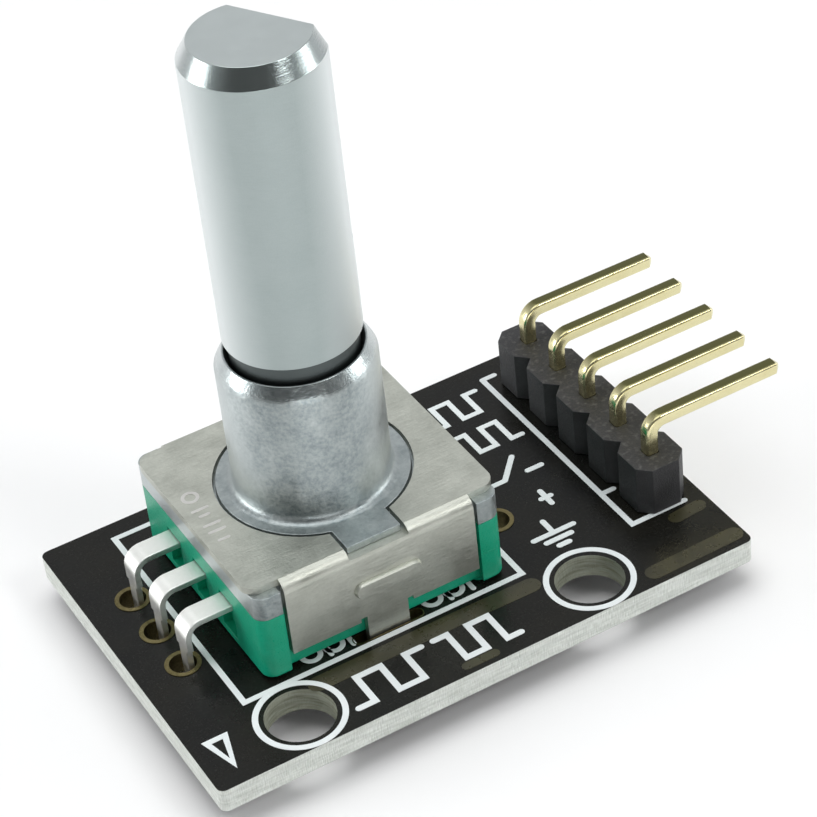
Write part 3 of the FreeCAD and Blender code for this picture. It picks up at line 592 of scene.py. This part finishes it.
# %% Skin of rings
def skin(rings, wrap=False):
    """Join rings (rings, points, 3) into one closed solid; wrap joins the last to the first.

    Point j of ring i has the number i times points plus j. A face takes points j and j + 1
    of one ring and the same two of the next.
    """
    rings = np.asarray(rings, float)
    count, size = rings.shape[:2]
    index = np.arange(count * size).reshape(count, size)
    above = np.roll(index, -1, 0)
    low, high = (index, above) if wrap else (index[:-1], above[:-1])
    corners = [low, np.roll(low, -1, 1), np.roll(high, -1, 1), high]
    faces = np.stack(corners, -1).reshape(-1, 4).tolist()
    ends = [] if wrap else [index[0][::-1].tolist(), index[-1].tolist()]
    return rings.reshape(-1, 3), faces + ends


print("two rings of four points make", len(skin(np.zeros((2, 4, 3)))[1]), "faces")

# %% [markdown]
# ## Pieces
# Each mesh becomes one object that rides on a body, has a material slot and may stand for a
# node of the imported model. Faces are smooth except where they meet at more than an angle.


# %% Piece helpers
def new_piece(name, solids, finish, body, node=None, sharp=30):
    """One object from several closed solids, riding on a body and standing for a node."""
    points, faces, count = [], [], 0
    for solid_points, solid_faces in solids:
        points.append(solid_points)
        faces += [[count + number for number in face] for face in solid_faces]
        count += len(solid_points)
    mesh = bpy.data.meshes.new(name)
    mesh.from_pydata(np.concatenate(points), [], faces)
    return dress(name, mesh, finish, body, node, sharp)


def dress(name, mesh, finish, body, node, sharp):
    """Turn normals outwards, smooth below an angle, and hand the object to the frame."""
    work = bmesh.new()
    work.from_mesh(mesh)
    bmesh.ops.remove_doubles(work, verts=work.verts, dist=0.0001 * MM)
    bmesh.ops.recalc_face_normals(work, faces=work.faces)
    work.to_mesh(mesh)
    work.free()
    mesh.polygons.foreach_set("use_smooth", np.ones(len(mesh.polygons), bool))
    mesh.set_sharp_from_angle(angle=math.radians(sharp))
    mesh.materials.append(finish)
    piece = bpy.data.objects.new(name, mesh)
    bpy.context.scene.collection.objects.link(piece)
    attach(piece, body)
    if node:
        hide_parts(node)
    return piece


def soften(piece, width_mm, angle=30, segments=2):
    """Break the sharp edges: a small bevel wherever two faces meet at more than the angle."""
    bevel = piece.modifiers.new("broken edges", "BEVEL")
    bevel.width = width_mm * MM
    bevel.segments = segments
    bevel.limit_method = "ANGLE"
    bevel.angle_limit = math.radians(angle)
    bevel.harden_normals = True
    return piece


# %% [markdown]
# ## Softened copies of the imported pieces
# A solid model has edges with no width, and no real edge is like that. Each piece that is
# pressed, moulded or soldered is copied, its loose triangles are joined, the flat ones are
# merged into single faces, and the edges that remain get a small bevel that catches light.


def soft_copy(node, finish, edge_mm, sharp=30):
    """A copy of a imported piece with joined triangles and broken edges."""
    source = nodes[node].data
    work = bmesh.new()
    work.from_mesh(source)
    bmesh.ops.remove_doubles(work, verts=work.verts, dist=0.0005 * MM)
    bmesh.ops.dissolve_limit(
        work, angle_limit=math.radians(0.4), verts=work.verts, edges=work.edges
    )
    points = np.array([vert.co for vert in work.verts])
    faces = [[vert.index for vert in face.verts] for face in work.faces]
    work.free()
    mesh = bpy.data.meshes.new(node + "_soft")
    mesh.from_pydata(points, [], faces)
    piece = dress(node + "_soft", mesh, finish, nodes[node]["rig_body"], node, sharp)
    return soften(piece, edge_mm)


SOFT_PIECES = {
    "pcb_board": (BOARD, 0.03),
    "header_base": (HEADER_BLACK, 0.05),
    "header_solder": (SOLDER, 0.06),
    "terminal_solder": (SOLDER, 0.06),
    "lug_solder": (SOLDER, 0.06),
    "pullup_resistors": (CERAMIC, 0.04),
    "resistor_end_caps": (TIN, 0.03),
    "metal_cover": (COVER_STEEL, 0.04),
    "bush_plate": (ZINC, 0.05),
    "contact_base": (GREEN, 0.05),
    "switch_base": (GREEN, 0.05),
    "contact_a": (SILVER, 0.04),
    "contact_common": (SILVER, 0.04),
    "contact_b": (SILVER, 0.04),
    "switch_terminal_1": (SILVER, 0.04),
    "switch_terminal_2": (SILVER, 0.04),
}
for node, (finish, edge_mm) in SOFT_PIECES.items():
    piece = soft_copy(node, finish, edge_mm)
    print(piece.name, len(piece.data.polygons), "faces")

# %% [markdown]
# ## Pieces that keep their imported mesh
# What is sealed inside, and the thin plating in the holes, needs no softer edge at this
# size, so those pieces only get their finish.

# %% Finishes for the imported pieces
PLAIN_PIECES = {
    "plated_holes": DULL_GOLD,
    "click_spring": SPRING_STEEL,
    "retaining_ring": SPRING_STEEL,
    "rotor": ROTOR_WHITE,
    "code_disc": CODE_METAL,
    "switch_plunger": PLUNGER_BLACK,
}
for node, finish in PLAIN_PIECES.items():
    nodes[node].data.materials.clear()
    nodes[node].data.materials.append(finish)
print("packed meshes kept", len(PLAIN_PIECES))

# %% [markdown]
# ## The snap dome
# The switch's dome is a shallow cap of springy steel. The plunger presses it nearly flat and
# it snaps back, so no rigid body can carry it. Here it is a softened copy that stays as it
# is, with a mesh of its own.

# %% Snap dome
dome = soft_copy("switch_dome", SPRING_STEEL, 0.01)
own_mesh(dome)

# %% [markdown]
# ## The shaft
# The shaft is turned, then one side of its end is milled flat. Every ring of the grid has
# the same number of points: the first lie along the flat, the rest round the arc. Where
# there is no flat the first points lie on the circle as well, so the ledge at the flat's
# lower end appears by itself between two rings at one level. The driving end, hidden in the
# rotor, has two flats in the solid model. Here it is left round, as thick as they are apart.

# %% Shaft
FLAT_ANGLE = math.radians(30)
DRIVE_RADIUS = 1.6
GROOVE_RADIUS = 1.65
STEM_RADIUS = 2.0
JOURNAL_RADIUS = 2.8
HEAD_RADIUS = 3.0
SHOULDER = 4.9
HEAD_BOTTOM = 12.8
FLAT_DISTANCE = 1.5
FLAT_LENGTH = 10.0
CHAMFER_HEIGHT = 0.8
CHAMFER_DEPTH = 0.5
ARC_COUNT = 144
FLAT_COUNT = 48


def shaft_ring(level, radius, flat=None):
    """A ring at a level above the board, in millimetres, cut by a flat at a distance.

    A flat at a distance d from the axis spans the angle whose cosine is d over the radius,
    to both sides.
    """
    half = math.acos(flat / radius) if flat else math.radians(60)
    arc = np.linspace(half, 2 * math.pi - half, ARC_COUNT, endpoint=False)
    if flat:
        reach = radius * math.sin(half)
        y = np.linspace(-reach, reach, FLAT_COUNT, endpoint=False)
        first = np.stack([np.full_like(y, flat), y], 1)
    else:
        turn = np.linspace(-half, half, FLAT_COUNT, endpoint=False)
        first = radius * np.stack([np.cos(turn), np.sin(turn)], 1)
    both = np.concatenate([first, radius * np.stack([np.cos(arc), np.sin(arc)], 1)])
    c, s = math.cos(FLAT_ANGLE), math.sin(FLAT_ANGLE)
    x = AXIS_X + MM * (c * both[:, 0] - s * both[:, 1])
    y = AXIS_Y + MM * (s * both[:, 0] + c * both[:, 1])
    return np.stack([x, y, np.full_like(x, BOARD_TOP + MM * level)], 1)


def shaft_rows():
    """Level, radius and flat of each ring, from the driving end up to the chamfered tip."""
    foot, top = [(corner[2] - BOARD_TOP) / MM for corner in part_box("shaft")]
    groove_low, groove_high = [(corner[2] - BOARD_TOP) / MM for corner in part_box("retaining_ring")]
    ledge = top - FLAT_LENGTH
    return [
        (foot, DRIVE_RADIUS), (groove_low, DRIVE_RADIUS),
        (groove_low, GROOVE_RADIUS), (groove_high, GROOVE_RADIUS),
        (groove_high, STEM_RADIUS), (SHOULDER, STEM_RADIUS),
        (SHOULDER, JOURNAL_RADIUS), (HEAD_BOTTOM, JOURNAL_RADIUS),
        (HEAD_BOTTOM, HEAD_RADIUS), (ledge, HEAD_RADIUS), (ledge, HEAD_RADIUS, FLAT_DISTANCE),
        (top - CHAMFER_HEIGHT, HEAD_RADIUS, FLAT_DISTANCE),
        (top, HEAD_RADIUS - CHAMFER_DEPTH, FLAT_DISTANCE),
    ]


shaft = new_piece(
    "shaft_turned", [skin([shaft_ring(*row) for row in shaft_rows()])],
    SHAFT_METAL, "shaft", "shaft",
)
soften(shaft, 0.05, 20)
print("shaft faces", len(shaft.data.polygons))

# %% [markdown]
# ## The header pins
# Each pin is a rounded square carried along a path: up through the board, round a bend,
# then out level. The two ends shrink to make the pointed tail and tip.

# %% Header pins
PIN_SIZE = 0.64
PIN_CORNER = 0.15
PIN_BEND = 0.35
POINT_LENGTH = 0.2
POINT_SHARE = 0.45
BEND_RINGS = 13


def rounded_square(size, corner, steps=4):
    """Points round a square with rounded corners, anticlockwise.

    Each corner is a quarter circle whose centre lies half the size, less the corner's
    radius, from the middle both ways.
    """
    quarter = np.arange(4)[:, None]
    turn = math.pi / 2 * (quarter + np.linspace(0, 1, steps + 1))
    diagonal = math.pi / 2 * (quarter + 0.5)
    inner = size / 2 - corner
    x = inner * np.sign(np.cos(diagonal)) + corner * np.cos(turn)
    y = inner * np.sign(np.sin(diagonal)) + corner * np.sin(turn)
    return np.stack([x.ravel(), y.ravel()], 1)


def pin_rings(node):
    """Rings of one pin; its row, tail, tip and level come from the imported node's box.

    At a turn t of the bend, a ring stands one bend radius times (1 - cos t) out from the
    row and the same radius times (1 - sin t) below the level part.
    """
    low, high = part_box(node)
    half, bend = MM * PIN_SIZE / 2, MM * (PIN_BEND + PIN_SIZE / 2)
    turn = np.concatenate([[0, 0], np.linspace(0, math.pi / 2, BEND_RINGS), [math.pi / 2] * 2])
    x = low[0] + half + bend * (1 - np.cos(turn))
    z = high[2] - half - bend * (1 - np.sin(turn))
    z[:2] = low[2], low[2] + MM * POINT_LENGTH
    x[-2:] = high[0] - MM * POINT_LENGTH, high[0]
    share = np.ones_like(turn)
    share[[0, -1]] = POINT_SHARE
    section = MM * share[:, None, None] * rounded_square(PIN_SIZE, PIN_CORNER)
    centre = np.stack([x, np.full_like(x, (low[1] + high[1]) / 2), z], 1)[:, None]
    across = np.stack([np.cos(turn), np.zeros_like(turn), -np.sin(turn)], 1)[:, None]
    return centre + section[..., :1] * across + section[..., 1:] * np.array([0, 1, 0])


for number in range(1, 6):
    node = f"header_pin_{number}"
    pin = new_piece(node + "_bent", [skin(pin_rings(node))], GOLD, "board", node)

# %% [markdown]
# ## Printed lines
# Ink is a thin solid that follows a line. Its half width drops off in a half circle at an
# open end, as a round pen would leave it. Every place is given in millimetres from the
# shaft's axis, which is the middle of the encoder.

# %% Ink strokes
INK_HEIGHT = 0.02
INK_WIDTH = 0.27
END_BENDS = np.radians([30, 60, 82])
MITRE_LIMIT = 0.4


def unit(vectors):
    """Each row made one long."""
    return vectors / np.linalg.norm(vectors, axis=-1, keepdims=True)


def to_the_left(vectors):
    """Each row turned a quarter turn to the left."""
    return np.stack([-vectors[:, 1], vectors[:, 0]], 1)


def round_ends(path, width):
    """Points added beyond both ends, and the share of the half width at every point.

    At an angle a round the pen, a point lies half the width times sin a beyond the end and
    the half width there is its cos a part.
    """
    out = width / 2 * np.sin(END_BENDS)[:, None]
    before = path[0] + out[::-1] * unit(path[0] - path[1])
    after = path[-1] + out * unit(path[-1] - path[-2])
    shares = [np.cos(END_BENDS)[::-1], np.ones(len(path)), np.cos(END_BENDS)]
    return np.concatenate([before, path, after]), np.concatenate(shares)


def stroke(path, width=INK_WIDTH, closed=False, level=0.0, height=INK_HEIGHT):
    """A flat solid along a path of (x, y) points, with round ends where it is open.

    At each point the edges lie half the width to both sides, along the mean of the two
    directions that meet there. Dividing by the cosine between them keeps the width even.
    """
    path = np.asarray(path, float)
    share = np.ones(len(path))
    if not closed:
        path, share = round_ends(path, width)
    ahead_in = path - np.roll(path, 1, 0)
    ahead_out = np.roll(path, -1, 0) - path
    if not closed:
        ahead_in[0], ahead_out[-1] = ahead_out[0], ahead_in[-1]
    side = unit(to_the_left(unit(ahead_in) + unit(ahead_out)))
    cosine = (side * to_the_left(unit(ahead_in))).sum(1)
    reach = (width / 2 * share / np.maximum(cosine, MITRE_LIMIT))[:, None] * side
    edge = np.stack([path + reach, path - reach, path - reach, path + reach], 1)
    x, y = AXIS_X + MM * edge[..., 0], AXIS_Y + MM * edge[..., 1]
    z = BOARD_TOP + MM * (level + height * np.array([0, 0, 1, 1]))
    return skin(np.stack([x, y, np.broadcast_to(z, x.shape)], -1), wrap=closed)


def circle(x, y, radius, count=72):
    """Points of a circle."""
    turn = np.linspace(0, 2 * math.pi, count, endpoint=False)
    return np.stack([x + radius * np.cos(turn), y + radius * np.sin(turn)], 1)


print("a straight stroke has", len(stroke([(0, 0), (1, 0)])[0]), "points")

# %% [markdown]
# ## Printed symbols
# The words and the name on the real board are left out. Symbols that any maker could use
# stand in their places: square waves for the two outputs, a switch, a plus and an earth
# sign at the pins, and a pair of shifted waves where the name was.

# %% Ink symbols
LAYER_STEP = 0.003
THIN_PEN = 0.24
WAVE = [(-1, -0.5), (-0.6, -0.5), (-0.6, 0.5), (0, 0.5), (0, -0.5), (0.6, -0.5), (0.6, 0.5), (1, 0.5)]
SYMBOLS = {
    "wave": [WAVE],
    "shifted wave": [[(-x, y) for x, y in WAVE]],
    "switch": [[(-1, -0.3), (-0.45, -0.3)], [(-0.45, -0.3), (0.4, 0.5)], [(0.45, -0.3), (1, -0.3)]],
    "plus": [[(-0.5, 0), (0.5, 0)], [(0, -0.5), (0, 0.5)]],
    "earth": [[(0, 0.6), (0, 0)], [(-0.8, 0), (0.8, 0)], [(-0.5, -0.3), (0.5, -0.3)],
              [(-0.2, -0.6), (0.2, -0.6)]],
    "triangle": [[(-0.55, 0.5), (0, -0.6), (0.55, 0.5)]],
}
PLACED = [
    ("wave", 9.98, 5.35, 3.0, 1.5), ("shifted wave", 10.2, 2.78, 2.8, 1.5),
    ("switch", 9.78, 0.09, 2.7, 1.6), ("plus", 10.07, -2.46, 1.0, 1.0),
    ("earth", 9.05, -4.7, 2.6, 1.5), ("wave", -1.5, -8.45, 4.0, 1.7, 0.3),
    ("shifted wave", 2.8, -8.45, 3.4, 1.7, 0.3), ("triangle", -9.3, -8.16, 1.6, 1.5),
]


def symbol(name, x, y, width, height, pen=INK_WIDTH):
    """The strokes of a symbol, scaled and placed; a triangle closes on itself."""
    return [
        stroke([(x + px * width / 2, y + py * height) for px, py in line], pen,
               name == "triangle", height=INK_HEIGHT + LAYER_STEP * order)
        for order, line in enumerate(SYMBOLS[name])
    ]


# Crossing strokes differ a little in height, so no two tops lie in one plane.
ink = [
    stroke([(-7.3, -6.18), (6.47, -6.18), (6.47, 6.65), (-7.3, 6.65)], closed=True),
    stroke([(12.19, 6.57), (12.19, -6.3), (14.99, -6.3)]),
]
for y in (6.57, -3.76):
    ink.append(stroke([(12.19, y), (12.85, y)], height=INK_HEIGHT + LAYER_STEP))
for side in (-1, 1):
    ring = circle(side * HOLE_OFFSET - AXIS_X / MM, -AXIS_Y / MM, 1.91)
    ink.append(stroke(ring, closed=True, height=INK_HEIGHT + LAYER_STEP))
for placed in PLACED:
    ink += symbol(*placed)
for x in (-3.6, -2.5, 2.4, 3.5):
    ink.append(stroke(circle(x, -5.25, 0.42, 28), THIN_PEN, closed=True))
    ink.append(stroke([(x + 0.75, -5.75), (x + 0.75, -4.9)], THIN_PEN))
printed = new_piece("printed_ink", ink, INK, "board")
print("ink strokes", len(ink))

# %% [markdown]
# ## Copper under the mask
# Copper lies under the black mask and lifts it a little, and there it looks olive. Broad
# tracks run along the front of the board and towards the header.

# %% Covered tracks
TRACK_HEIGHT = 0.012
TRACKS = [
    ([(-4.2, -7.0), (3.0, -7.0), (6.4, -7.05)], 0.9),
    ([(14.0, -7.05), (15.3, -6.95)], 0.7),
    ([(11.2, -9.5), (15.45, -9.45)], 0.85),
    ([(1.5, -9.75), (2.9, -9.75)], 0.45),
]
tracks = [stroke(path, width, height=TRACK_HEIGHT) for path, width in TRACKS]
covered = new_piece("covered_tracks", tracks, COVERED_COPPER, "board")
print("tracks", len(tracks))

# %% [markdown]
# ## The stamped marks on the cover
# The cover carries a shallow stamp. A ring and a few bars stand for it: plain shapes, a
# hair higher than the sheet and a little brighter.

# %% Stamp
STAMPED = metal("stamped_nickel", [(0.70, 0.69, 0.66), (0.80, 0.79, 0.76)], (0.25, 0.4), 0.1, 0.003)
STAMP_X = -5.25
STAMP = {"width": 0.16, "level": (COVER_TOP - BOARD_TOP) / MM, "height": 0.01}
stamp = [stroke(circle(STAMP_X, 1.5, 0.33, 32), closed=True, **STAMP)]
for y, length in ((0.55, 0.7), (0.1, 0.4), (-0.6, 0.7), (-1.1, 0.7), (-1.75, 0.45)):
    bar = [(STAMP_X - length / 2, y), (STAMP_X + length / 2, y)]
    stamp.append(stroke(bar, **STAMP))
stamped = new_piece("stamped_marks", stamp, STAMPED, "board")
print("stamp strokes", len(stamp))

# %% [markdown]
# ## The floor
# The object stands on a pale matt floor that is far wider than the view from this camera.
# From a low angle its far edge shows as a faint line. Slow blotches, hardly visible, keep it
# from looking like a computed plane.


# %% Floor
FLOOR_SIZE = 1.6
FLOOR_GAP = 0.00002


def studio_floor():
    """A matt white floor just under the lowest point of the object."""
    mesh = bpy.data.meshes.new("floor")
    h, z = FLOOR_SIZE / 2, cad_low[2] - FLOOR_GAP
    mesh.from_pydata([(-h, -h, z), (h, -h, z), (h, h, z), (-h, h, z)], [], [(0, 1, 2, 3)])
    floor = bpy.data.objects.new("floor", mesh)
    bpy.context.scene.collection.objects.link(floor)
    white, tree, shader = new_finish("floor_white", roughness=0.9)
    shade = use(tree, GRAIN, {"Size": 30.0, "Detail": 2.0}).outputs["Mask"]
    colour = mix_colour(tree, shade, rgb(0.93, 0.93, 0.93), rgb(0.95, 0.95, 0.95))
    tree.links.new(colour, shader.inputs["Base Color"])
    mesh.materials.append(white)


studio_floor()
print("floor at", round((cad_low[2] - FLOOR_GAP) / MM, 2), "mm")

# %% [markdown]
# ## The lamps
# A large soft box hangs overhead. Two more stand low on the left and right, which show as
# the bright spots at both ends of the shaft's chamfer. A small one high on the front right
# brightens the folds of the cover, and a long low one in front lights the board's edge.


# %% Lamps
LAMP_TARGET = (0, 6, 8)


def soft_box(name, place_mm, size_mm, watts):
    """A rectangular soft light that faces the object."""
    data = bpy.data.lights.new(name, "AREA")
    data.shape = "RECTANGLE"
    data.size, data.size_y = [side * MM for side in size_mm]
    data.energy = watts
    lamp = bpy.data.objects.new(name, data)
    bpy.context.scene.collection.objects.link(lamp)
    lamp.location = Vector(place_mm) * MM
    toward = Vector(LAMP_TARGET) * MM - lamp.location
    lamp.rotation_euler = toward.to_track_quat("-Z", "Y").to_euler()


soft_box("overhead", (-20, 30, 360), (300, 300), 0.62)
soft_box("front right", (140, -250, 280), (110, 110), 0.30)
soft_box("left", (-290, 150, 60), (150, 150), 0.42)
soft_box("right", (290, -130, 60), (130, 130), 0.24)
soft_box("low front", (-90, -290, 30), (220, 60), 0.12)

# %% [markdown]
# ## The room
# The room is pale behind the object and dark in front of it, where the camera stands. A
# bright metal shows what surrounds it, so this is what gives the shaft and the pins their
# light and dark sides.

# %% Room
FRONT = (-0.4, -0.9, 0.2)
world = bpy.data.worlds.new("studio")
bpy.context.scene.world = world
world.use_nodes = True
sky = world.node_tree
place = add(sky, "ShaderNodeTexCoord")
toward_front = add(sky, "ShaderNodeVectorMath", {
    0: place.outputs["Generated"], 1: FRONT,
}, operation="DOT_PRODUCT")
front = ramp(sky, toward_front.outputs["Value"], 0.1, 0.75)
glow = mix_colour(sky, front, rgb(0.66, 0.67, 0.68), rgb(0.13, 0.13, 0.13))
sky.links.new(glow, sky.nodes["Background"].inputs["Color"])
sky.nodes["Background"].inputs["Strength"].default_value = 1.0
bpy.context.scene.view_settings.view_transform = "Standard"
print("room", world.name, "has", len(sky.nodes), "nodes")
